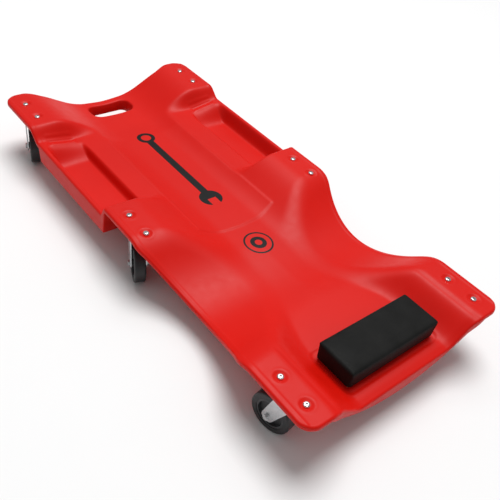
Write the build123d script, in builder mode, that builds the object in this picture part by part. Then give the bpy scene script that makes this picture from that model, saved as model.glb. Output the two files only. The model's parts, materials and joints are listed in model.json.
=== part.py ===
"""Mechanics creeper: a blow-moulded deck on six swivel casters, with a headrest cushion.

Frame: millimetres, +X towards the head end, +Z up, origin on the floor under the deck's centre.
"""
import os
from math import atan, degrees

from build123d import *

os.makedirs("parts", exist_ok=True)

# ---- deck, overall ----
deck_length = 1016.0
deck_width = 470.0
pad_top = 113.0  # height of the flat pads above the floor
deck_thickness = 11.0  # over both skins of the hollow moulding
seat_boss = 1.0  # flat seats stand this proud of the underside
boss_margin = 3.0

# ---- deck outline in plan ----
foot_edge_inset = 10.0  # the foot edge is set in between its two ears
ear_width = 43.0
ear_blend = 40.0
ear_radius = 32.0
head_edge_inset = 4.0
head_shoulder = 50.0
head_shoulder_blend = 20.0
head_radius = 28.0
outline_blend = 25.0
arm_from_head = 303.5  # from the head edge to the middle of the arm scoops
arm_half_length = 145.2
arm_inset = 34.5

# ---- heights of the top face below the pads ----
foot_pad_width = 45.0  # the pads are flat this far in from the sides
pad_width = 57.0
foot_dish_depth = 57.0
mid_dish_depth = 47.0
head_dish_depth = 40.5
foot_floor_half = 46.0
mid_floor_half = 42.0
head_floor_half = 104.0
foot_bow = 0.08  # the foot of the bed is this much shallower beside its centreline
foot_bow_half = 70.0
arm_dip = 59.3
arm_rise = 12.0  # the scoops climb by this much from the waist to the centreline
arm_run_out = 3.0  # the scoops reach pad height this far past the outline's arcs
arm_crease = 20.0  # length over which the scoops and the bed round into each other

# ---- tool trays ----
ramp_from_foot = 136.0  # the foot pads slope down to the trays from here
ramp_end_gap = 16.0
ramp_bed_blend = 80.0
tray_from_foot = 189.0
tray_length = 256.0
tray_width = 76.0
tray_side_rim = 18.0
tray_rim_cut = 4.0  # the low rim runs this far past the tray's head end
mid_rise_before = 22.0
mid_rise_after = 8.0
shoulder_crease = 4.0
tray_rim_drop = 22.0
tray_shoulder_drop = 33.0  # the bed beside the trays
tray_floor_drop = 53.0
tray_base = 10.0  # from the tray floor to the underside
tray_wall = 9.0
tray_corner = 12.0
tray_draft = 4.0

# ---- hand slot ----
slot_from_foot = 32.7
slot_width = 51.7
slot_half_length = 53.0
slot_corner = 20.0
slot_narrowing = 8.0  # on each side, from the top of the handle to its underside
handle_thickness = 20.0
handle_half_width = 72.0

# ---- skirt along the head edge, with an arc for its lower edge ----
skirt_drop = 74.5  # from the pads to the arc's lowest point
skirt_length = 18.0
skirt_side_gap = 47.5  # from the sides to where the arc meets the sheet's underside

# ---- fasteners of the deck ----
bolt_spacing = 58.0
bolt_thread = 6.0
bolt_clearance = 0.3
bolt_head = 11.5
bolt_head_height = 3.3
bolt_head_round = 2.8
bolt_socket = 4.0
bolt_socket_depth = 1.9
dimple_radius = 12.0
dimple_depth = 2.5
nut_flats = 10.0
nut_height = 6.0
bolt_tail = 1.5

# ---- casters ----
foot_caster_inset = 76.0  # from the foot edge
mid_caster_gap = 71.5  # from the head end of the trays
head_caster_inset = 68.5  # from the head edge
side_caster_inset = 32.0  # from the sides
caster_sides = {"left": -1, "right": 1}
caster_headings = {
    ("foot", "left"): 339.0,
    ("mid", "left"): 336.0,
    ("head", "left"): 189.0,
    ("foot", "right"): 12.0,
    ("mid", "right"): 165.0,
    ("head", "right"): 203.0,
}
plate_length = 82.0
plate_width = 42.0
plate_thickness = 3.0
plate_corner = 9.0
race_radius = 15.0
ball_radius = 2.4
ball_count = 14
ball_clearance = 0.15
race_gap = 2.0
race_outer = 19.0
race_drop = 3.5
kingpin_radius = 4.5
kingpin_head = 7.5
kingpin_foot = 8.5
kingpin_foot_height = 2.8
running_fit = 0.08
kingpin_play = 0.3
crown_radius = 20.5
fork_sheet = 2.6
fork_top_half = 16.0
fork_foot_radius = 11.0
trail = 22.0
wheel_radius = 37.5
wheel_width = 21.0
tyre_inner = 27.0
tyre_shoulder = 3.0
tyre_key = 1.5
tyre_key_width = 8.0
hub_bore_wall = 5.0
hub_web = 6.0
hub_rim = 3.5
hub_rim_step = 1.0  # the hub's rim is this much below the tyre's side
hub_length = 25.0
hub_play = 0.4
axle_radius = 3.0
axle_head = 10.0
axle_head_height = 3.5
axle_nut_height = 4.5
axle_tail = 0.8

# ---- headrest ----
cushion_from_head = 77.5  # from the head edge to the cushion's middle
cushion_length = 80.0
cushion_width = 214.0
cushion_height = 40.0
cushion_round = 5.0
cushion_top_round = 4.5
board_thickness = 8.0
board_margin = 6.0
seat_margin = 3.0
seat_recess = 0.5
headrest_gap = 0.3
screw_xs = (-22.0, 22.0)
screw_ys = (-75.0, 75.0)
screw_radius = 2.2
screw_head = 4.6
screw_head_height = 2.6
screw_bite = 6.5

# ---- worked out ----
half_length = deck_length / 2
half_width = deck_width / 2
pad_inner_y = half_width - pad_width
foot_pad_inner_y = half_width - foot_pad_width
ear_outer_y = half_width - ear_width
ear_inner_y = ear_outer_y - ear_blend
head_shoulder_y = half_width - head_shoulder
arm_x = half_length - arm_from_head
ramp_start = -half_length + ramp_from_foot
tray_foot_x = -half_length + tray_from_foot
tray_head_x = tray_foot_x + tray_length
tray_outer_y = half_width - tray_side_rim
tray_inner_y = tray_outer_y - tray_width
slot_foot_x = -half_length + slot_from_foot
slot_head_x = slot_foot_x + slot_width
cushion_x = half_length - cushion_from_head
caster_xs = {
    "foot": -half_length + foot_caster_inset,
    "mid": tray_head_x + mid_caster_gap,
    "head": half_length - head_caster_inset,
}
caster_y = half_width - side_caster_inset
dish_seat = pad_top - head_dish_depth - seat_recess
screw_seat = pad_top - head_dish_depth - deck_thickness - seat_boss
plate_top = pad_top - deck_thickness - seat_boss
plate_bottom = plate_top - plate_thickness
race_bottom = plate_bottom - race_drop
crown_top = race_bottom - race_gap
crown_bottom = crown_top - fork_sheet
bolt_seat = pad_top - dimple_depth
caster_names = [(end, side) for end in caster_xs for side in caster_sides]


def ease(value, start, end):
    """Smooth step: 0 up to start, 1 from end on."""
    share = min(max((value - start) / (end - start), 0.0), 1.0)
    return share * share * (3 - 2 * share)


def soft_min(first, second, blend):
    """The smaller of two heights, rounded over where they cross."""
    overlap = max(blend - abs(first - second), 0.0) / blend
    return min(first, second) - overlap * overlap * blend / 4


def along(x, foot_value, mid_value, head_value):
    """A size that changes from foot to middle to head along the bed."""
    to_mid = ease(x, -half_length, ramp_start + ramp_bed_blend)
    to_head = ease(x, arm_x, cushion_x - cushion_length / 2)
    return foot_value + (mid_value - foot_value) * to_mid + (head_value - mid_value) * to_head


def deck_height(x, y):
    """Height of the deck's top face above the floor, before trays and dimples are cut."""
    reach = abs(y)
    depth = along(x, foot_dish_depth, mid_dish_depth, head_dish_depth)
    depth *= 1 - along(x, foot_bow, 0.0, 0.0) * ease(reach, 0.0, foot_bow_half)
    floor_half = along(x, foot_floor_half, mid_floor_half, head_floor_half)
    pad_start = along(x, foot_pad_inner_y, pad_inner_y, pad_inner_y)
    dish = -depth * (1 - ease(reach, floor_half, pad_start))
    span = (x - arm_x) / (arm_half_length + arm_run_out)
    scoop = -arm_dip * (1 - span * span) + arm_rise * (1 - reach / (half_width - arm_inset))
    height = soft_min(dish, scoop, arm_crease)
    beside = -tray_shoulder_drop
    beside += (tray_shoulder_drop - tray_rim_drop) * ease(reach, tray_inner_y, half_width)
    window = ease(x, ramp_start, tray_foot_x - ramp_end_gap)
    window *= 1 - ease(x, tray_head_x - mid_rise_before, tray_head_x + mid_rise_after)
    height += window * (soft_min(height, beside, shoulder_crease) - height)
    return pad_top + height


def spaced(start, end, count):
    """Evenly spaced values from start to end."""
    return [start + (end - start) * i / (count - 1) for i in range(count)]


def outline_corners(sketch, x):
    """The outline's two corners at x on the long sides."""
    on_side = sketch.vertices().filter_by(lambda v: abs(abs(v.Y) - half_width) < 0.1)
    return on_side.filter_by(lambda v: abs(v.X - x) < 0.1)


# ---- the deck's top face as one surface, wider than the deck ----
margin_x = 20.0
margin_y = 40.0
count_x = 105
count_y = 53
surface_xs = spaced(-half_length - margin_x, half_length + margin_x, count_x)
surface_ys = spaced(-half_width - margin_y, half_width + margin_y, count_y)
top_points = [[(x, y, deck_height(x, y)) for x in surface_xs] for y in surface_ys]
top_face = Face.make_surface_from_array_of_points(top_points, tol=0.1, min_deg=3)

with BuildPart() as below_top:
    extrude(top_face, amount=2 * pad_top, dir=(0, 0, -1))

with BuildSketch() as outline:
    with BuildLine():
        side = Polyline(
            (-half_length + foot_edge_inset, 0),
            (-half_length + foot_edge_inset, ear_inner_y),
            (-half_length, ear_outer_y),
            (-half_length, half_width),
            (arm_x - arm_half_length, half_width),
        )
        arm = ThreePointArc(
            side @ 1,
            (arm_x, half_width - arm_inset),
            (arm_x + arm_half_length, half_width),
        )
        Polyline(
            arm @ 1,
            (half_length, half_width),
            (half_length, head_shoulder_y),
            (half_length - head_edge_inset, head_shoulder_y - head_shoulder_blend),
            (half_length - head_edge_inset, 0),
        )
        mirror(about=Plane.XZ)
    make_face()
    fillet(outline_corners(outline, -half_length), ear_radius)
    fillet(outline_corners(outline, half_length), head_radius)
    fillet(outline_corners(outline, arm_x - arm_half_length), outline_blend)
    fillet(outline_corners(outline, arm_x + arm_half_length), outline_blend)


def block(low, high, mode=Mode.ADD):
    """A box between two corners, in the part that is being built."""
    size = [high[i] - low[i] for i in range(3)]
    middle = tuple((low[i] + high[i]) / 2 for i in range(3))
    with Locations(middle):
        Box(*size, mode=mode)


caster_spots = [(x, sign * caster_y) for x in caster_xs.values() for sign in caster_sides.values()]
bolt_spots = [
    (x + end, y) for x, y in caster_spots for end in (-bolt_spacing / 2, bolt_spacing / 2)
]
screw_spots = [(cushion_x + x, y) for x in screw_xs for y in screw_ys]

# ---- the space under the sheet: all but the tray boxes, the handle and the head skirt ----
tray_box_low = pad_top - tray_floor_drop - tray_base
tray_box_foot = tray_foot_x - tray_wall
tray_box_head = tray_head_x + tray_wall
handle_low = pad_top - foot_dish_depth - handle_thickness
skirt_foot_x = half_length - head_edge_inset - skirt_length
skirt_half = half_width - skirt_side_gap
skirt_rise = skirt_drop - deck_thickness
skirt_radius = (skirt_rise**2 + skirt_half**2) / (2 * skirt_rise)

with BuildPart() as under_sheet:
    add(below_top.part.moved(Location((0, 0, -deck_thickness))))
    for sign in caster_sides.values():
        near = sign * (tray_inner_y - tray_wall)
        far = sign * deck_width
        block(
            (tray_box_foot, min(near, far), tray_box_low),
            (tray_box_head, max(near, far), pad_top),
            mode=Mode.SUBTRACT,
        )
    block(
        (-deck_length, -handle_half_width, handle_low),
        (slot_head_x + handle_thickness, handle_half_width, pad_top),
        mode=Mode.SUBTRACT,
    )
    with BuildSketch(Plane.YZ.offset(skirt_foot_x)):
        with Locations((0, pad_top - skirt_drop + skirt_radius)):
            Circle(skirt_radius)
    extrude(amount=deck_length, mode=Mode.SUBTRACT)
    with BuildSketch(Plane.XY.offset(plate_top)) as seats:
        with Locations(*caster_spots):
            RectangleRounded(
                plate_length + 2 * boss_margin, plate_width + 2 * boss_margin, plate_corner
            )
    extrude(amount=deck_thickness, mode=Mode.SUBTRACT)
    extrude(seats.sketch, amount=-deck_thickness)
    with BuildSketch(Plane.XY.offset(screw_seat)):
        with Locations(*screw_spots):
            Circle(screw_head + boss_margin)
    extrude(amount=deck_thickness, mode=Mode.SUBTRACT)

# ---- deck ----
dimple_ball = (dimple_radius**2 + dimple_depth**2) / (2 * dimple_depth)
slot_mid_x = (slot_foot_x + slot_head_x) / 2
slot_draft = degrees(atan(slot_narrowing / handle_thickness))
tray_mid_x = (tray_foot_x + tray_head_x) / 2
tray_mid_y = (tray_inner_y + tray_outer_y) / 2

with BuildPart() as deck:
    add(outline.sketch)
    extrude(amount=2 * pad_top)
    add(below_top.part, mode=Mode.INTERSECT)
    add(under_sheet.part, mode=Mode.SUBTRACT)
    for sign in caster_sides.values():
        near = sign * tray_inner_y
        far = sign * deck_width
        block(
            (tray_foot_x, min(near, far), pad_top - tray_rim_drop),
            (tray_head_x + tray_rim_cut, max(near, far), 2 * pad_top),
            mode=Mode.SUBTRACT,
        )
        with BuildSketch(Plane.XY.offset(pad_top - tray_floor_drop)):
            with Locations((tray_mid_x, sign * tray_mid_y)):
                RectangleRounded(tray_head_x - tray_foot_x, tray_outer_y - tray_inner_y, tray_corner)
        extrude(amount=2 * tray_floor_drop, taper=-tray_draft, mode=Mode.SUBTRACT)
    with BuildSketch(Plane.XY.offset(handle_low)):
        with Locations((slot_mid_x, 0)):
            RectangleRounded(
                slot_width - 2 * slot_narrowing,
                2 * slot_half_length - 2 * slot_narrowing,
                slot_corner - slot_narrowing,
            )
    extrude(amount=2 * handle_thickness, taper=-slot_draft, mode=Mode.SUBTRACT)
    with BuildSketch(Plane.XY.offset(dish_seat)):
        with Locations((cushion_x, 0)):
            RectangleRounded(
                cushion_length + 2 * seat_margin, cushion_width + 2 * seat_margin, cushion_round
            )
    extrude(amount=head_dish_depth, mode=Mode.SUBTRACT)
    with Locations(*[(x, y, bolt_seat + dimple_ball) for x, y in bolt_spots]):
        Sphere(dimple_ball, mode=Mode.SUBTRACT)
    with Locations(*[(x, y, bolt_seat) for x, y in bolt_spots]):
        Cylinder(
            bolt_head / 2 + bolt_clearance, pad_top, mode=Mode.SUBTRACT,
            align=(Align.CENTER, Align.CENTER, Align.MIN),
        )
        Hole(bolt_thread / 2 + bolt_clearance)
    with Locations(*[(x, y, dish_seat) for x, y in screw_spots]):
        Hole(screw_radius + bolt_clearance)
deck.part.label = "deck"
export_step(deck.part, "parts/deck.step")


def place(piece, node, spot=Location()):
    """Write one node: the piece at its spot."""
    with BuildPart() as placed:
        with Locations(spot):
            add(piece.part)
    placed.part.label = node
    export_step(placed.part, f"parts/{node}.step")


# ---- deck bolts and lock nuts, one node each for the twelve ----
bolt_length = bolt_seat - plate_bottom + nut_height + bolt_tail

with BuildPart() as deck_bolts:
    with Locations(*[(x, y, bolt_seat) for x, y in bolt_spots]):
        Cylinder(bolt_head / 2, bolt_head_height, align=(Align.CENTER, Align.CENTER, Align.MIN))
    head_rims = deck_bolts.edges().filter_by(GeomType.CIRCLE).group_by(Axis.Z)[-1]
    fillet(head_rims, bolt_head_round)
    with Locations(*[(x, y, bolt_seat) for x, y in bolt_spots]):
        Cylinder(bolt_thread / 2, bolt_length, align=(Align.CENTER, Align.CENTER, Align.MAX))
    with BuildSketch(Plane.XY.offset(bolt_seat + bolt_head_height)):
        with Locations(*bolt_spots):
            RegularPolygon(bolt_socket / 2, 6, major_radius=False)
    extrude(amount=-bolt_socket_depth, mode=Mode.SUBTRACT)
place(deck_bolts, "deck_bolts")

with BuildPart() as lock_nuts:
    with BuildSketch(Plane.XY.offset(plate_bottom - nut_height)):
        with Locations(*bolt_spots):
            RegularPolygon(nut_flats / 2, 6, major_radius=False)
            Circle(bolt_thread / 2, mode=Mode.SUBTRACT)
    extrude(amount=nut_height)
place(lock_nuts, "lock_nuts")

# ---- headrest ----
cushion_low = dish_seat + headrest_gap
board_length = cushion_length - 2 * board_margin
board_width = cushion_width - 2 * board_margin

with BuildPart() as headrest_cushion:
    with BuildSketch(Plane.XY.offset(cushion_low)):
        with Locations((cushion_x, 0)):
            RectangleRounded(cushion_length, cushion_width, cushion_round)
    extrude(amount=cushion_height)
    fillet(headrest_cushion.faces().sort_by(Axis.Z)[-1].edges(), cushion_top_round)
    with BuildSketch(Plane.XY.offset(cushion_low)):
        with Locations((cushion_x, 0)):
            Rectangle(board_length + 2 * headrest_gap, board_width + 2 * headrest_gap)
    extrude(amount=board_thickness, mode=Mode.SUBTRACT)
place(headrest_cushion, "headrest_cushion")

with BuildPart() as headrest_board:
    with BuildSketch(Plane.XY.offset(dish_seat)):
        with Locations((cushion_x, 0)):
            Rectangle(board_length, board_width)
    extrude(amount=board_thickness)
    with BuildSketch(Plane.XY.offset(dish_seat)):
        with Locations(*screw_spots):
            Circle(screw_radius)
    extrude(amount=screw_bite, mode=Mode.SUBTRACT)
place(headrest_board, "headrest_board")

screw_top = dish_seat + screw_bite
with BuildPart() as headrest_screws:
    with BuildSketch(Plane.XY.offset(screw_seat)):
        with Locations(*screw_spots):
            Circle(screw_radius)
    extrude(amount=screw_top - screw_seat)
    with BuildSketch(Plane.XY.offset(screw_seat)):
        with Locations(*screw_spots):
            Circle(screw_head)
    extrude(amount=-screw_head_height)
place(headrest_screws, "headrest_screws")

# ---- one caster: kingpin on the Z axis, heading along +X ----
ball_height = (race_bottom + crown_top) / 2
groove_radius = ball_radius + ball_clearance
cheek = hub_length / 2 + hub_play
axle_spot = (trail, wheel_radius)
kingpin_end = crown_bottom - kingpin_play

with BuildPart() as plate:
    with BuildSketch(Plane.XY.offset(plate_bottom)):
        RectangleRounded(plate_length, plate_width, plate_corner)
    extrude(amount=plate_thickness)
    with BuildSketch(Plane.XY.offset(race_bottom)):
        Circle(race_outer)
    extrude(amount=race_drop)
    with Locations((0, 0, ball_height)):
        Torus(race_radius, groove_radius, mode=Mode.SUBTRACT)
    with Locations((0, 0, plate_top)):
        CounterSinkHole(kingpin_radius, kingpin_head)
        with GridLocations(bolt_spacing, 0, 2, 1):
            Hole(bolt_thread / 2 + bolt_clearance)

with BuildPart() as kingpin:
    with BuildSketch(Plane.XZ):
        with BuildLine():
            Polyline(
                (0, plate_top),
                (kingpin_head, plate_top),
                (kingpin_radius, plate_top + kingpin_radius - kingpin_head),
                (kingpin_radius, kingpin_end),
                (kingpin_foot, kingpin_end),
                (kingpin_foot, kingpin_end - kingpin_foot_height / 2),
                (kingpin_radius, kingpin_end - kingpin_foot_height),
                (0, kingpin_end - kingpin_foot_height),
                close=True,
            )
        make_face()
    revolve(axis=Axis.Z)

with BuildPart() as bearing_balls:
    with Locations((0, 0, ball_height)):
        with PolarLocations(race_radius, ball_count):
            Sphere(ball_radius)

with BuildPart() as fork:
    with BuildSketch(Plane.XZ):
        with Locations(axle_spot):
            Circle(fork_foot_radius)
        with Locations((0, crown_top - fork_sheet / 2)):
            Rectangle(2 * fork_top_half, fork_sheet)
        make_hull()
    extrude(amount=cheek + fork_sheet, both=True)
    block(
        (-deck_width, -cheek, -deck_width),
        (deck_width, cheek, crown_bottom),
        mode=Mode.SUBTRACT,
    )
    with BuildSketch(Plane.XY.offset(crown_bottom)):
        Circle(crown_radius)
    extrude(amount=fork_sheet)
    with Locations((0, 0, ball_height)):
        Torus(race_radius, groove_radius, mode=Mode.SUBTRACT)
    with Locations((0, 0, crown_top)):
        Hole(kingpin_radius + running_fit)
    with BuildSketch(Plane.XZ):
        with Locations(axle_spot):
            Circle(axle_radius)
    extrude(amount=deck_width, both=True, mode=Mode.SUBTRACT)

axle_end = cheek + fork_sheet
axle_plane = Plane(origin=(trail, 0, wheel_radius), x_dir=(1, 0, 0), z_dir=(0, 1, 0))

with BuildPart() as axle_bolt:
    with BuildSketch(axle_plane.offset(-axle_end)):
        RegularPolygon(axle_head / 2, 6, major_radius=False)
    extrude(amount=-axle_head_height)
    with BuildSketch(axle_plane.offset(-axle_end)):
        Circle(axle_radius)
    extrude(amount=2 * axle_end + axle_nut_height + axle_tail)

with BuildPart() as axle_nut:
    with BuildSketch(axle_plane.offset(axle_end)):
        RegularPolygon(axle_head / 2, 6, major_radius=False)
        Circle(axle_radius, mode=Mode.SUBTRACT)
    extrude(amount=axle_nut_height)

bore = axle_radius + running_fit
with BuildPart() as hub:
    with BuildSketch(axle_plane):
        Circle(bore + hub_bore_wall)
    extrude(amount=hub_length / 2, both=True)
    with BuildSketch(axle_plane):
        Circle(tyre_inner)
    extrude(amount=hub_web / 2, both=True)
    with BuildSketch(axle_plane):
        Circle(tyre_inner)
        Circle(tyre_inner - hub_rim, mode=Mode.SUBTRACT)
    extrude(amount=wheel_width / 2 - hub_rim_step, both=True)
    with BuildSketch(axle_plane):
        Circle(tyre_inner + tyre_key)
        Circle(tyre_inner - hub_rim, mode=Mode.SUBTRACT)
    extrude(amount=tyre_key_width / 2, both=True)
    with BuildSketch(axle_plane):
        Circle(bore)
    extrude(amount=hub_length, both=True, mode=Mode.SUBTRACT)

with BuildPart() as tyre:
    with BuildSketch(axle_plane):
        Circle(wheel_radius)
        Circle(tyre_inner, mode=Mode.SUBTRACT)
    extrude(amount=wheel_width / 2, both=True)
    tread_edges = tyre.edges().filter_by(GeomType.CIRCLE).filter_by(
        lambda e: e.radius > wheel_radius - 0.1
    )
    fillet(tread_edges, tyre_shoulder)
    with BuildSketch(axle_plane):
        Circle(tyre_inner + tyre_key)
    extrude(amount=tyre_key_width / 2, both=True, mode=Mode.SUBTRACT)

# ---- six casters ----
fixed_pieces = {"plate": plate, "kingpin": kingpin, "balls": bearing_balls}
turning_pieces = {
    "fork": fork,
    "axle_bolt": axle_bolt,
    "axle_nut": axle_nut,
    "hub": hub,
    "tyre": tyre,
}
for end, side in caster_names:
    centre = (caster_xs[end], caster_sides[side] * caster_y, 0)
    heading = caster_headings[end, side]
    for name, piece in fixed_pieces.items():
        place(piece, f"{end}_{side}_{name}", Location(centre))
    for name, piece in turning_pieces.items():
        place(piece, f"{end}_{side}_{name}", Location(centre, (0, 0, heading)))
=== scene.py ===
import json
import math

import bmesh
import bpy
import numpy as np
from mathutils import Matrix, Vector


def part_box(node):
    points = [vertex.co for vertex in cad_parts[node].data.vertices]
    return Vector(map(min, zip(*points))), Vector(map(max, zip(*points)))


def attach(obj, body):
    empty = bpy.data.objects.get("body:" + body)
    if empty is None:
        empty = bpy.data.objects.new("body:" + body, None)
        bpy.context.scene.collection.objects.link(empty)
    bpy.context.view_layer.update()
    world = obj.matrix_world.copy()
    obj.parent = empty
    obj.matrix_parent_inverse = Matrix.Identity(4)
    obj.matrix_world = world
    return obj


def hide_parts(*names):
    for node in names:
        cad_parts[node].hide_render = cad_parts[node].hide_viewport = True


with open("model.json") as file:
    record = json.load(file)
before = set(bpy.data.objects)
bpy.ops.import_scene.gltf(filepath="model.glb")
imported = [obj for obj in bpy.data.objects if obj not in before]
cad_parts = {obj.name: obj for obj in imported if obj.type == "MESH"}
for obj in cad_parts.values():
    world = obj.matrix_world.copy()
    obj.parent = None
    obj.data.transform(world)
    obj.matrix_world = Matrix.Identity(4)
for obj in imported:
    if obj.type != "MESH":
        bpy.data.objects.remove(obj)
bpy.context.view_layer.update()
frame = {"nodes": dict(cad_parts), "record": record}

MM = 0.001
nodes = frame["nodes"]
scene = bpy.context.scene
deck_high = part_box("deck")[1]
cushion_low, cushion_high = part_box("headrest_cushion")
ENDS = ("foot", "mid", "head")

# ---- deck sizes in millimetres, with heights measured down from the pads ----
HALF_LENGTH = deck_high.x / MM
HALF_WIDTH = deck_high.y / MM
SHEET = 11.0
PAD_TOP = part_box("foot_left_plate")[1].z / MM + SHEET + 1.0
EDGE_ROUND = 4.6
FOOT_INSET = 10.0
HEAD_INSET = 4.0
EAR_RADIUS = 32.0
HEAD_RADIUS = 28.0
EAR_BLEND = (150.0, 194.0)
HEAD_BLEND = (150.0, 182.0)
CORNER_FADE = 60.0
ARM_X = 204.5
ARM_HALF = 145.2
ARM_INSET = 34.5
ARM_DIP = 59.3
ARM_RISE = 12.0
ARM_RUN_OUT = 3.0
ARM_CREASE = 20.0
PAD_INNER = 178.0
FOOT_PAD_WIDTH = 45.0
DISH_DEPTHS = (57.0, 47.0, 40.5)        # at the foot, the middle and the head
FLOOR_HALVES = (46.0, 42.0, 104.0)      # half the flat floor's width at each
FOOT_BOW = 0.08
FOOT_BOW_HALF = 70.0
PANEL_HALF = 92.0
PANEL_HEAD = 64.0
PANEL_BULGE = 16.0
PANEL_RAISE = 1.6
TRAY_FOOT = -319.0
TRAY_HEAD = -63.0
TRAY_INNER = 141.0
TRAY_OUTER = 217.0
TRAY_FLOOR = 53.0
TRAY_RIM = 22.0
TRAY_SHOULDER = 33.0
TRAY_BASE = 10.0
TRAY_WALL = 6.0
SHOULDER_CREASE = 4.0
RAMP_START = -372.0
RAMP_END = -335.0
SLOT = (-475.3, -423.6, 53.0, 20.0)
SLOT_NARROWING = 8.0
HANDLE_LOW = 77.0
SKIRT_LOW = 74.5
SKIRT_RADIUS = 308.6
SKIRT_HALF = 188.0
ROLL_START = 486.0
ROLL_DROP = 4.5
HEAD_STEP = 172.0
BEAD_INSET = 9.0
BEAD_HEIGHT = 0.9
SEAT_STRAIGHT = (34.0, 98.0)            # to where the seat's corners start to turn
SEAT_CORNER = 14.0
CASTER_Y = 203.0
BOLT_REACH = 29.0
DIMPLE_RADIUS = 12.5
DIMPLE_DEPTH = 2.6
LEAST_SHEET = 2.5
COARSE_GRID = 6.0
FINE_GRID = 2.3


def middle_of(node):
    """The centre of a CAD node's box, in millimetres."""
    low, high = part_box(node)
    return (low + high) / (2 * MM)


CASTER_X = {end: middle_of(f"{end}_left_plate").x for end in ENDS}
SEAT_X = middle_of("headrest_cushion").x


def ease(value, start, end):
    """Smooth step: 0 up to start, 1 from end on."""
    share = np.clip((value - start) / (end - start), 0.0, 1.0)
    return share * share * (3 - 2 * share)


def soft_min(first, second, blend):
    """The smaller of two heights, rounded over where they cross."""
    overlap = np.maximum(blend - np.abs(first - second), 0.0) / blend
    return np.minimum(first, second) - overlap * overlap * blend / 4


def along(x, foot_value, mid_value, head_value):
    """A size that changes from foot to middle to head along the bed."""
    to_mid = ease(x, -HALF_LENGTH, RAMP_START + 80)
    to_head = ease(x, ARM_X, cushion_low.x / MM)
    return foot_value + (mid_value - foot_value) * to_mid + (head_value - mid_value) * to_head


def bed_height(x, y):
    """Height of the bed, arm scoops and pads below pad level, before the small details."""
    reach = np.abs(y)
    bow = along(x, FOOT_BOW, 0.0, 0.0) * ease(reach, 0.0, FOOT_BOW_HALF)
    depth = along(x, *DISH_DEPTHS) * (1 - bow)
    floor_half = along(x, *FLOOR_HALVES)
    pad_start = along(x, HALF_WIDTH - FOOT_PAD_WIDTH, PAD_INNER, PAD_INNER)
    dish = -depth * (1 - ease(reach, floor_half, pad_start))
    span = (x - ARM_X) / (ARM_HALF + ARM_RUN_OUT)
    climb = ARM_RISE * (1 - reach / (HALF_WIDTH - ARM_INSET))
    height = soft_min(dish, climb - ARM_DIP * (1 - span * span), ARM_CREASE)
    beside = -TRAY_SHOULDER + (TRAY_SHOULDER - TRAY_RIM) * ease(reach, TRAY_INNER, HALF_WIDTH)
    rise = 8.0 + 14.0 * (1 - ease(reach, 100, 150))
    window = ease(x, RAMP_START, RAMP_END) * (1 - ease(x, TRAY_HEAD - rise, TRAY_HEAD + 6.0))
    return height + window * (soft_min(height, beside, SHOULDER_CREASE) - height)


def ridge(value, centre, width):
    """A smooth bump of unit height."""
    return np.exp(-(((value - centre) / width) ** 2))


def deck_top(x, y):
    """Height of the deck's top face below the pads (negative), as moulded."""
    reach = np.abs(y)
    height = bed_height(x, y)

    # the raised panel of the bed, with its rounded head end
    panel_head = PANEL_HEAD - PANEL_BULGE * (y / PANEL_HALF) ** 2
    panel = ease(PANEL_HALF - reach, -2.0, 2.0) * ease(panel_head - x, -2.5, 2.5)
    panel *= ease(x, TRAY_FOOT - 11.0, TRAY_FOOT + 29.0)
    height += PANEL_RAISE * panel

    # tray pockets, with a long soft slope at the foot end
    inner = ease(reach, TRAY_INNER - 1.0, TRAY_INNER + 8.0)
    outer = 1 - ease(reach, TRAY_OUTER - 6.0, TRAY_OUTER + 10.0)
    foot_wall = ease(x, TRAY_FOOT - 3.0, TRAY_FOOT + 45.0)
    head_wall = 1 - ease(x, TRAY_HEAD - 7.0, TRAY_HEAD + 1.0)
    pocket = inner * outer * foot_wall * head_wall
    height += pocket * (-TRAY_FLOOR - height)

    # the stepped ledge at the foot end of each tray
    on_ledge = ease(reach, TRAY_INNER + 9, TRAY_INNER + 19)
    on_ledge *= 1 - ease(reach, TRAY_OUTER - 9, TRAY_OUTER)
    lower = 1.8 * ridge(x, TRAY_FOOT - 3.5, 3.2) - 2.0 * ridge(x, TRAY_FOOT - 16.5, 3.4)
    upper = 1.0 * ridge(x, TRAY_FOOT - 29.0, 2.4) - 0.9 * ridge(x, TRAY_FOOT - 25.5, 1.8)
    height += (lower + upper) * on_ledge

    # a shallow step inside the head pads, and the seat moulded round the cushion
    height -= 1.5 * ridge(reach, HEAD_STEP, 5.0) * ease(x, 352.0, 372.0)
    out_x = np.maximum(np.abs(x - SEAT_X) - SEAT_STRAIGHT[0], 0)
    out_y = np.maximum(reach - SEAT_STRAIGHT[1], 0)
    seat_gap = np.hypot(out_x, out_y) - SEAT_CORNER
    height -= 1.3 * (1 - ease(seat_gap, -2.2, 2.2)) - 0.3 * ridge(seat_gap, 3.0, 2.0)

    # the head edge rolls over, and a bead runs inside the sides
    height -= ROLL_DROP * ease(x, ROLL_START, ROLL_START + 26) * (1 - ease(reach, 150, 186))
    height += BEAD_HEIGHT * ridge(half_width_at(x) - reach, BEAD_INSET, 2.2)
    return height


def dimples(x, y):
    """Depth of the countersunk dish round each bolt."""
    depth = np.zeros_like(x)
    for centre in CASTER_X.values():
        for end in (-BOLT_REACH, BOLT_REACH):
            distance = np.hypot(x - centre - end, np.abs(y) - CASTER_Y)
            depth += DIMPLE_DEPTH * (1 - ease(distance, 5.5, DIMPLE_RADIUS))
            depth -= 0.5 * ridge(distance, DIMPLE_RADIUS + 1.0, 1.6)
    return depth


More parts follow.
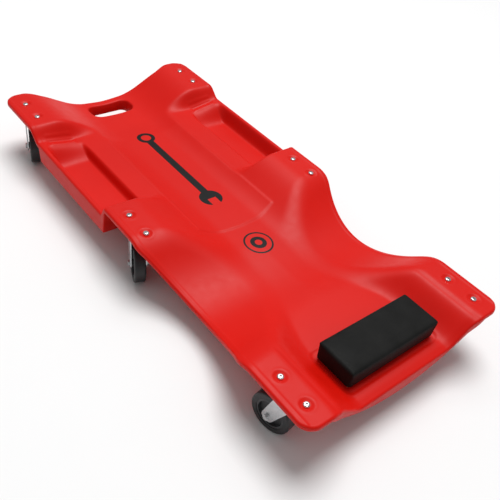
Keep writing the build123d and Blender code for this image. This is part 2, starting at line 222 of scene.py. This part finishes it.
def graded(low, high, coarse, fine, spots):
    """Grid lines from low to high: fine within the (start, end) spots, coarse elsewhere."""
    steps = np.linspace(low, high, 6000)
    density = np.full_like(steps, 1 / coarse)
    for start, end in spots:
        near = ease(steps, start - 6, start) * (1 - ease(steps, end, end + 6))
        density = np.maximum(density, near / fine + (1 - near) / coarse)
    total = np.concatenate([[0], np.cumsum((density[1:] + density[:-1]) / 2 * np.diff(steps))])
    count = int(round(total[-1])) + 1
    return np.interp(np.linspace(0, total[-1], count), total, steps)


def half_width_at(x):
    """Half the deck's width at x, with the arm scoops cut in as arcs."""
    radius = (ARM_HALF**2 + ARM_INSET**2) / (2 * ARM_INSET)
    offset = np.clip(np.abs(x - ARM_X), 0, radius)
    cut = ARM_INSET - radius + np.sqrt(radius**2 - offset**2)
    softened = -soft_min(-cut, np.zeros_like(cut), 5.0)
    softened = np.where(offset > ARM_HALF + 60, 0.0, softened)
    return HALF_WIDTH - softened


def corner_shift(from_corner, radius):
    """How far a point on one side moves in and along where the corner is rounded.

    from_corner is the distance from the square corner. The square side's length of one
    radius maps to an eighth of a turn of the arc."""
    share = np.clip(1 - from_corner / radius, 0.0, 1.0)
    angle = share * math.pi / 4
    inwards = radius * (1 - np.cos(angle))
    forward = (radius - from_corner) - radius * np.sin(angle)
    return np.where(share > 0, inwards, 0.0), np.where(share > 0, forward, 0.0)


def shift_field(x, y, half_x, half_y, radius, fade):
    """How far points of a rectangular grid move so that its corners become arcs."""
    along_in, along_back = corner_shift(half_x - np.abs(x), radius)
    side_in, side_back = corner_shift(half_y - np.abs(y), radius)
    corner = radius * (1 - math.sqrt(0.5))
    near_long = 1 - ease(np.abs(half_y - np.abs(y)), 0.0, fade)
    near_short = 1 - ease(np.abs(half_x - np.abs(x)), 0.0, fade)
    both = near_long * near_short * corner
    move_x = along_back * near_long + side_in * near_short - both
    move_y = along_in * near_long + side_back * near_short - both
    return -np.sign(x) * move_x, -np.sign(y) * move_y


def warp(x, y):
    """The rectangular grid bent to the deck's outline, set in by the edge's rounding."""
    half_x = HALF_LENGTH - EDGE_ROUND
    half_y = HALF_WIDTH - EDGE_ROUND
    radius = np.where(x < 0, EAR_RADIUS, HEAD_RADIUS) - EDGE_ROUND
    move_x, move_y = shift_field(x, y, half_x, half_y, radius, CORNER_FADE)
    reach = np.abs(y)
    move_x = move_x + FOOT_INSET * (1 - ease(reach, *EAR_BLEND)) * (1 - ease(x + half_x, 0, 24))
    move_x = move_x - HEAD_INSET * (1 - ease(reach, *HEAD_BLEND)) * (1 - ease(half_x - x, 0, 20))
    cut = HALF_WIDTH - half_width_at(x)
    move_y = move_y - np.sign(y) * cut * ease(reach, 60, half_y)

    # round the corners of the hand slot by moving only what lies outside it
    foot_x, head_x, slot_half_y, slot_radius = SLOT
    slot_half_x = (head_x - foot_x) / 2 + EDGE_ROUND
    slot_half_y = slot_half_y + EDGE_ROUND
    local_x = x - (foot_x + head_x) / 2
    gap = np.hypot(np.maximum(np.abs(local_x) - slot_half_x, 0), np.maximum(reach - slot_half_y, 0))
    hold_x = np.clip(local_x, -slot_half_x, slot_half_x)
    hold_y = np.clip(y, -slot_half_y, slot_half_y)
    slot_x, slot_y = shift_field(
        hold_x, hold_y, slot_half_x, slot_half_y, slot_radius + EDGE_ROUND, CORNER_FADE
    )
    fade = 1 - ease(gap, 0.0, 17.0)
    return x + move_x + slot_x * fade, y + move_y + slot_y * fade


def snapped(lines, values):
    """The grid lines with the nearest ones moved onto the given values."""
    for value in values:
        lines[np.argmin(np.abs(lines - value))] = value
    return lines


def deck_bottom(x, y):
    """Height of the deck's underside below the pads (negative)."""
    reach = np.abs(y)
    height = bed_height(x, y) - SHEET
    tray = ease(reach, TRAY_INNER - 2 * TRAY_WALL, TRAY_INNER - TRAY_WALL)
    tray *= ease(x, TRAY_FOOT - 14.0, TRAY_FOOT - TRAY_WALL)
    tray *= 1 - ease(x, TRAY_HEAD + 2, TRAY_HEAD + 8)
    height += tray * (-TRAY_FLOOR - TRAY_BASE - height)
    handle = (1 - ease(reach, 62, 74)) * (1 - ease(x, SLOT[1] + 10, SLOT[1] + 24))
    height += handle * (-HANDLE_LOW - height)
    arc = SKIRT_RADIUS - SKIRT_LOW - np.sqrt(np.maximum(SKIRT_RADIUS**2 - y * y, 0.0))
    skirt = ease(x, 483.0, 488.0) * (1 - ease(reach, SKIRT_HALF - 5.0, SKIRT_HALF))
    height += skirt * (np.minimum(height, arc) - height)
    for centre in CASTER_X.values():
        seat = 1 - ease(np.abs(x - centre), 43.0, 46.0)
        seat = seat * (1 - ease(np.abs(reach - CASTER_Y), 23.0, 26.0))
        height += seat * (-SHEET - 1.0 - height)
    return height


def rim_loop(start_i, end_i, start_j, end_j, anticlockwise):
    """Grid indices round a block, with the deck's material on the left."""
    loop = [(i, start_j) for i in range(start_i, end_i)]
    loop += [(end_i, j) for j in range(start_j, end_j)]
    loop += [(i, end_j) for i in range(end_i, start_i, -1)]
    loop += [(start_i, j) for j in range(end_j, start_j, -1)]
    return loop if anticlockwise else loop[::-1]


def build_deck():
    """The moulded deck as one closed mesh: top and underside grids and rounded rims."""
    bolts = [c + s for c in CASTER_X.values() for s in (-BOLT_REACH, BOLT_REACH)]
    spots = [(x - 14, x + 14) for x in bolts]
    spots += [(-366, -296), (-84, -52), (472, 504), (376, 392), (40, 68), (-482, -416)]
    end_x, end_y = HALF_LENGTH - EDGE_ROUND, HALF_WIDTH - EDGE_ROUND
    xs = graded(-end_x, end_x, COARSE_GRID, FINE_GRID, spots)
    bands = [(86, 118), (136, 164), (168, 176), (188, 230)]
    bands += [(-end, -start) for start, end in bands]
    ys = graded(-end_y, end_y, COARSE_GRID, FINE_GRID, bands)
    slot_x = (SLOT[0] - EDGE_ROUND, SLOT[1] + EDGE_ROUND)
    slot_y = (-SLOT[2] - EDGE_ROUND, SLOT[2] + EDGE_ROUND)
    xs = snapped(xs, slot_x)
    ys = snapped(ys, slot_y)
    grid_x, grid_y = np.meshgrid(xs, ys, indexing="ij")
    flat_x, flat_y = warp(grid_x, grid_y)
    top_z = deck_top(flat_x, flat_y) - dimples(flat_x, flat_y)
    low_z = np.minimum(deck_bottom(flat_x, flat_y), top_z - LEAST_SHEET)
    count_i, count_j = flat_x.shape
    top = np.stack([flat_x, flat_y, top_z], -1).reshape(-1, 3)
    low = np.stack([flat_x, flat_y, low_z], -1).reshape(-1, 3)
    slot_i = [int(np.argmin(np.abs(xs - v))) for v in slot_x]
    slot_j = [int(np.argmin(np.abs(ys - v))) for v in slot_y]
    under = len(top)
    faces = []
    for i in range(count_i - 1):
        for j in range(count_j - 1):
            if slot_i[0] <= i < slot_i[1] and slot_j[0] <= j < slot_j[1]:
                continue
            a = i * count_j + j
            b, c, d = a + count_j, a + count_j + 1, a + 1
            faces.append((a, b, c, d))
            faces.append((under + a, under + d, under + c, under + b))
    points = [top, low]
    total = 2 * under
    rims = [
        rim_loop(0, count_i - 1, 0, count_j - 1, True),
        rim_loop(slot_i[0], slot_i[1], slot_j[0], slot_j[1], False),
    ]
    angles = np.radians([22.5, 45.0, 67.5, 90.0])
    for loop, narrowing in zip(rims, (0.0, SLOT_NARROWING)):
        index = np.array([i * count_j + j for i, j in loop])
        edge = top[index]
        tangent = np.roll(edge[:, :2], -1, 0) - np.roll(edge[:, :2], 1, 0)
        tangent /= np.linalg.norm(tangent, axis=1)[:, None]
        outward = np.stack([tangent[:, 1], -tangent[:, 0]], 1)
        low[index, :2] += outward * narrowing
        bottom_z = low[index][:, 2]
        thickness = edge[:, 2] - bottom_z
        rows = []
        for angle in angles:
            drop = np.minimum(EDGE_ROUND, thickness * 0.45) * (1 - math.cos(angle))
            rows.append((outward * EDGE_ROUND * math.sin(angle), edge[:, 2] - drop))
        for angle in angles[::-1]:
            rise = np.minimum(EDGE_ROUND * 0.8, thickness * 0.45) * (1 - math.cos(angle))
            rows.append((outward * (EDGE_ROUND * math.sin(angle) + narrowing), bottom_z + rise))
        columns = [index]
        for shift, height in rows:
            ring = np.column_stack([edge[:, :2] + shift, height])
            points.append(ring)
            columns.append(np.arange(total, total + len(ring)))
            total += len(ring)
        columns.append(index + under)
        for upper, lower in zip(columns, columns[1:]):
            for k in range(len(index)):
                n = (k + 1) % len(index)
                faces.append((upper[k], lower[k], lower[n], upper[n]))
    coords = np.concatenate(points)
    coords[:, 2] += PAD_TOP
    mesh = bpy.data.meshes.new("deck_shell")
    mesh.from_pydata((coords * MM).tolist(), [], [tuple(int(v) for v in f) for f in faces])
    work = bmesh.new()
    work.from_mesh(mesh)
    bmesh.ops.delete(work, geom=[v for v in work.verts if not v.link_faces], context="VERTS")
    work.to_mesh(mesh)
    work.free()
    mesh.shade_smooth()
    shell = bpy.data.objects.new("deck_shell", mesh)
    scene.collection.objects.link(shell)
    return shell


# ---- materials ----
class Shader:
    """A small helper round one node material."""

    def __init__(self, name, **values):
        self.material = bpy.data.materials.new(name)
        self.material.use_nodes = True
        self.tree = self.material.node_tree
        self.principled = self.tree.nodes["Principled BSDF"]
        for key, value in values.items():
            self.principled.inputs[key.replace("_", " ")].default_value = value
        self.place = self.node("ShaderNodeTexCoord").outputs["Object"]

    def node(self, kind, **settings):
        made = self.tree.nodes.new(kind)
        for key, value in settings.items():
            setattr(made, key, value)
        return made

    def link(self, source, target):
        self.tree.links.new(source, target)

    def math(self, operation, *values):
        made = self.node("ShaderNodeMath", operation=operation)
        for socket, value in zip(made.inputs, values):
            if isinstance(value, (int, float)):
                socket.default_value = value
            else:
                self.link(value, socket)
        return made.outputs[0]

    def noise(self, scale, detail=3.0, roughness=0.55):
        made = self.node("ShaderNodeTexNoise")
        made.inputs["Scale"].default_value = scale
        made.inputs["Detail"].default_value = detail
        made.inputs["Roughness"].default_value = roughness
        self.link(self.place, made.inputs["Vector"])
        return made.outputs["Fac"]

    def spread(self, source, low, high, to_low, to_high):
        made = self.node("ShaderNodeMapRange")
        ends = {"From Min": low, "From Max": high, "To Min": to_low, "To Max": to_high}
        for key, value in ends.items():
            made.inputs[key].default_value = value
        self.link(source, made.inputs["Value"])
        return made.outputs["Result"]

    def blend(self, share, first, second):
        made = self.node("ShaderNodeMix", data_type="RGBA")
        colour_sockets = [s for s in made.inputs if s.type == "RGBA"]
        self.link(share, made.inputs[0])
        for socket, value in zip(colour_sockets, (first, second)):
            if isinstance(value, tuple):
                socket.default_value = value
            else:
                self.link(value, socket)
        return [s for s in made.outputs if s.type == "RGBA"][0]

    def bump(self, height, strength, distance):
        made = self.node("ShaderNodeBump")
        made.inputs["Strength"].default_value = strength
        made.inputs["Distance"].default_value = distance
        self.link(height, made.inputs["Height"])
        self.link(made.outputs["Normal"], self.principled.inputs["Normal"])

    def colour(self, source):
        self.link(source, self.principled.inputs["Base Color"])

    def rough(self, source):
        self.link(source, self.principled.inputs["Roughness"])


def paint_marks(shader):
    """Mask of the two printed marks on the bed: a plain spanner and a plain ring."""
    split = shader.node("ShaderNodeSeparateXYZ")
    shader.link(shader.place, split.inputs[0])
    x, y = split.outputs[0], split.outputs[1]

    def disc(centre_x, centre_y, radius):
        across = shader.math("SUBTRACT", x, centre_x)
        up = shader.math("SUBTRACT", y, centre_y)
        squares = [shader.math("MULTIPLY", side, side) for side in (across, up)]
        return shader.math("SUBTRACT", shader.math("SQRT", shader.math("ADD", *squares)), radius)

    def bar(centre_x, centre_y, half_x, half_y):
        gaps = []
        for place, centre, half in ((x, centre_x, half_x), (y, centre_y, half_y)):
            gap = shader.math("ABSOLUTE", shader.math("SUBTRACT", place, centre))
            gaps.append(shader.math("SUBTRACT", gap, half))
        return shader.math("MAXIMUM", *gaps)

    def join(first, second):
        return shader.math("MINIMUM", first, second)

    def cut(first, second):
        return shader.math("MAXIMUM", first, shader.math("MULTIPLY", second, -1.0))

    foot_x, head_x = -0.300, -0.028
    handle = bar((foot_x + head_x) / 2, 0.0, (head_x - foot_x) / 2 - 0.018, 0.0085)
    jaw = cut(disc(head_x - 0.010, 0.0, 0.0245), bar(head_x + 0.012, 0.0, 0.020, 0.0100))
    ring = cut(join(handle, disc(foot_x + 0.010, 0.0, 0.0205)), disc(foot_x + 0.010, 0.0, 0.0115))
    spanner = join(ring, jaw)
    badge_x = 0.120
    badge = cut(disc(badge_x, 0.0, 0.030), disc(badge_x, 0.0, 0.0262))
    badge = join(badge, cut(disc(badge_x, 0.0, 0.0165), disc(badge_x, 0.0, 0.0075)))
    marks = join(spanner, badge)
    top_only = shader.math("GREATER_THAN", split.outputs[2], 0.058)
    return shader.math("MULTIPLY", shader.math("LESS_THAN", marks, 0.0), top_only)


def deck_material():
    """Satin red moulded polyethylene with the printed marks."""
    shader = Shader("red_polyethylene", Specular_IOR_Level=0.17)
    cloud = shader.spread(shader.noise(5.0, 3.0), 0.3, 0.7, 0.0, 1.0)
    body = shader.blend(cloud, (0.600, 0.0045, 0.0012, 1), (0.650, 0.0060, 0.0018, 1))
    mask = paint_marks(shader)
    shader.colour(shader.blend(mask, body, (0.004, 0.004, 0.004, 1)))
    shader.rough(shader.spread(shader.noise(60.0, 4.0), 0.3, 0.7, 0.38, 0.45))
    shader.bump(shader.noise(900.0, 2.0), 0.10, 0.00025)
    return shader.material


def steel_material(name, tone, low, high):
    """Plated steel with faint blotches and fine brush marks."""
    shader = Shader(name, Metallic=1.0)
    shade = shader.spread(shader.noise(120.0, 4.0), 0.3, 0.7, 0.0, 1.0)
    dark = tuple(0.86 * v for v in tone) + (1,)
    shader.colour(shader.blend(shade, dark, tone + (1,)))
    shader.rough(shader.spread(shader.noise(240.0, 3.0), 0.3, 0.7, low, high))
    shader.bump(shader.noise(1500.0, 2.0), 0.08, 0.0001)
    return shader.material


def dark_material(name, tone, low, high, grain, depth):
    """Rubber and dark plastics: near black with a fine grain."""
    shader = Shader(name)
    shade = shader.spread(shader.noise(70.0, 3.0), 0.3, 0.7, 0.0, 1.0)
    dark, light = [tuple(scale * v for v in tone) + (1,) for scale in (0.75, 1.3)]
    shader.colour(shader.blend(shade, dark, light))
    shader.rough(shader.spread(shader.noise(200.0, 3.0), 0.3, 0.7, low, high))
    shader.bump(shader.noise(grain, 3.0), 0.35, depth)
    return shader.material


def vinyl_material():
    """Black vinyl with a fine leather grain."""
    shader = Shader("black_vinyl", Specular_IOR_Level=0.07)
    shade = shader.spread(shader.noise(30.0, 3.0), 0.3, 0.7, 0.0, 1.0)
    shader.colour(shader.blend(shade, (0.0075, 0.0075, 0.0072, 1), (0.012, 0.012, 0.0115, 1)))
    cells = shader.node("ShaderNodeTexVoronoi", feature="DISTANCE_TO_EDGE")
    cells.inputs["Scale"].default_value = 620.0
    shader.link(shader.place, cells.inputs["Vector"])
    grain = shader.spread(cells.outputs["Distance"], 0.0, 0.12, 0.0, 1.0)
    shader.bump(grain, 0.22, 0.0002)
    shader.rough(shader.spread(shader.noise(300.0, 3.0), 0.3, 0.7, 0.46, 0.58))
    return shader.material


def wood_material():
    """Plywood board inside the headrest."""
    shader = Shader("plywood", Roughness=0.7)
    grain = shader.noise(40.0, 6.0)
    shader.colour(shader.blend(grain, (0.33, 0.20, 0.10, 1), (0.55, 0.38, 0.20, 1)))
    shader.bump(grain, 0.2, 0.0003)
    return shader.material


red = deck_material()
chrome = steel_material("bright_steel", (0.78, 0.78, 0.80), 0.10, 0.20)
zinc = steel_material("zinc_steel", (0.60, 0.61, 0.62), 0.26, 0.40)
rubber = dark_material("tyre_rubber", (0.013, 0.013, 0.014), 0.42, 0.56, 700.0, 0.0003)
grey_plastic = dark_material("hub_plastic", (0.045, 0.045, 0.048), 0.38, 0.5, 900.0, 0.0002)
vinyl = vinyl_material()
wood = wood_material()
slot_materials = {
    "deck_plastic": red, "black_vinyl": vinyl, "board": wood, "bright_steel": chrome,
    "zinc_steel": zinc, "hub_plastic": grey_plastic, "tyre_rubber": rubber,
}
for row in frame["record"]["subparts"]:
    node = nodes[row["node"]]
    node.data.materials.clear()
    node.data.materials.append(slot_materials[row["material_slot"]])

# ---- deck ----
deck_shell = build_deck()
deck_shell.data.materials.append(red)
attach(deck_shell, "root")
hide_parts("deck")


# ---- headrest cushion ----
def mesh_after(obj):
    """The object's mesh with its modifiers applied."""
    depsgraph = bpy.context.evaluated_depsgraph_get()
    depsgraph.update()
    return bpy.data.meshes.new_from_object(obj.evaluated_get(depsgraph))


def build_cushion():
    """Foam block in a vinyl wrap, puffed by a short cloth simulation."""
    low, high = cushion_low / MM, cushion_high / MM
    low = Vector((low.x + 0.8, low.y + 0.8, low.z + 0.3))
    high = Vector((high.x - 0.8, high.y - 0.8, high.z - 1.2))
    work = bmesh.new()
    bmesh.ops.create_cube(work, size=1.0)
    centre, size = (low + high) / 2, high - low
    for vert in work.verts:
        taper = 1.0 if vert.co.z > 0 else 0.972
        vert.co = Vector((
            centre.x + vert.co.x * size.x * taper,
            centre.y + vert.co.y * size.y * (1 - (1 - taper) * 0.5),
            centre.z + vert.co.z * size.z,
        )) * MM
    bmesh.ops.bevel(work, geom=work.edges[:], offset=2.4 * MM, segments=3, affect="EDGES")
    mesh = bpy.data.meshes.new("headrest_pad")
    work.to_mesh(mesh)
    work.free()
    pad = bpy.data.objects.new("headrest_pad", mesh)
    scene.collection.objects.link(pad)
    remesh = pad.modifiers.new("remesh", "REMESH")
    remesh.mode = "VOXEL"
    remesh.voxel_size = 0.004
    pad.data = mesh_after(pad)
    pad.modifiers.clear()
    inflate(pad, 2.0 * MM)
    subdivide = pad.modifiers.new("smooth", "SUBSURF")
    subdivide.levels = subdivide.render_levels = 1
    pad.data = mesh_after(pad)
    pad.modifiers.clear()
    pad.data.shade_smooth()
    return pad


def inflate(pad, cap, last_frame=20):
    """Blow the wrap up with a cloth simulation; no point moves further than the cap."""
    start = np.array([v.co for v in pad.data.vertices])
    pinned = pad.vertex_groups.new(name="pinned")
    floor_z = start[:, 2].min() + 0.002
    pinned.add([i for i, co in enumerate(start) if co[2] < floor_z], 1.0, "REPLACE")
    cloth = pad.modifiers.new("cloth", "CLOTH")
    cloth.settings.quality = 6
    cloth.settings.mass = 0.2
    cloth.settings.use_pressure = True
    cloth.settings.uniform_pressure_force = 4.0
    cloth.settings.tension_stiffness = 60
    cloth.settings.compression_stiffness = 60
    cloth.settings.bending_stiffness = 12
    cloth.settings.effector_weights.gravity = 0
    cloth.settings.vertex_group_mass = "pinned"
    cloth.point_cache.frame_start = 1
    cloth.point_cache.frame_end = last_frame
    for number in range(1, last_frame + 1):
        scene.frame_set(number)
    moved = np.array([v.co for v in mesh_after(pad).vertices]) - start
    length = np.maximum(np.linalg.norm(moved, axis=1), 1e-9)
    moved *= np.minimum(1.0, cap / length)[:, None]
    pad.modifiers.clear()
    pad.vertex_groups.clear()
    pad.data.vertices.foreach_set("co", (start + moved).ravel())
    pad.data.update()
    scene.frame_set(1)


headrest_pad = build_cushion()
headrest_pad.data.materials.clear()
headrest_pad.data.materials.append(vinyl)
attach(headrest_pad, "root")
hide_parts("headrest_cushion")

# ---- floor, light and camera ----
floor_mesh = bpy.data.meshes.new("floor")
floor_mesh.from_pydata([(-8, -8, 0), (8, -8, 0), (8, 8, 0), (-8, 8, 0)], [], [(0, 1, 2, 3)])
floor = bpy.data.objects.new("floor", floor_mesh)
scene.collection.objects.link(floor)
floor_shader = Shader("pale_floor", Roughness=0.9)
floor_shader.colour(floor_shader.blend(floor_shader.noise(3.0), (0.86, 0.86, 0.86, 1), (0.88, 0.88, 0.88, 1)))
floor_mesh.materials.append(floor_shader.material)

world = bpy.data.worlds.new("studio")
scene.world = world
world.use_nodes = True
world.node_tree.nodes["Background"].inputs["Color"].default_value = (1, 1, 1, 1)
world.node_tree.nodes["Background"].inputs["Strength"].default_value = 0.34
scene.view_settings.view_transform = "Standard"


def aim(light, spot, target):
    """Place a lamp and point it at a target."""
    light.location = spot
    light.rotation_euler = (Vector(target) - Vector(spot)).to_track_quat("-Z", "Y").to_euler()
    scene.collection.objects.link(light)


def area_light(name, spot, target, size, power):
    """A soft square light aimed at a point."""
    data = bpy.data.lights.new(name, "AREA")
    data.shape = "SQUARE"
    data.size = size
    data.energy = power
    aim(bpy.data.objects.new(name, data), spot, target)


middle = Vector((0, 0, deck_high.z / 2))
sun_data = bpy.data.lights.new("key", "SUN")
sun_data.energy = 2.3
sun_data.angle = math.radians(34)
aim(bpy.data.objects.new("key", sun_data), (-0.5, 0.5, 2.4), middle)
area_light("top", (-0.8, 0.9, 2.2), middle, 1.2, 10)

AZIMUTH, ELEVATION, ROLL = math.radians(44.5), math.radians(40.8), math.radians(10.6)
CAMERA_SPOT = (0.7746, -0.6854, 0.8604)
CAMERA_LENS = 46.08
forward = Vector((
    -math.sin(AZIMUTH) * math.cos(ELEVATION),
    math.cos(AZIMUTH) * math.cos(ELEVATION),
    -math.sin(ELEVATION),
))
level = Vector((math.cos(AZIMUTH), math.sin(AZIMUTH), 0))
right = level * math.cos(ROLL) + level.cross(forward) * math.sin(ROLL)
up = right.cross(forward)
camera_data = bpy.data.cameras.new("camera")
camera_data.lens = CAMERA_LENS
camera = bpy.data.objects.new("camera", camera_data)
turn = Matrix((right, up, -forward)).transposed().to_4x4()
camera.matrix_world = Matrix.Translation(CAMERA_SPOT) @ turn
scene.collection.objects.link(camera)
scene.camera = camera
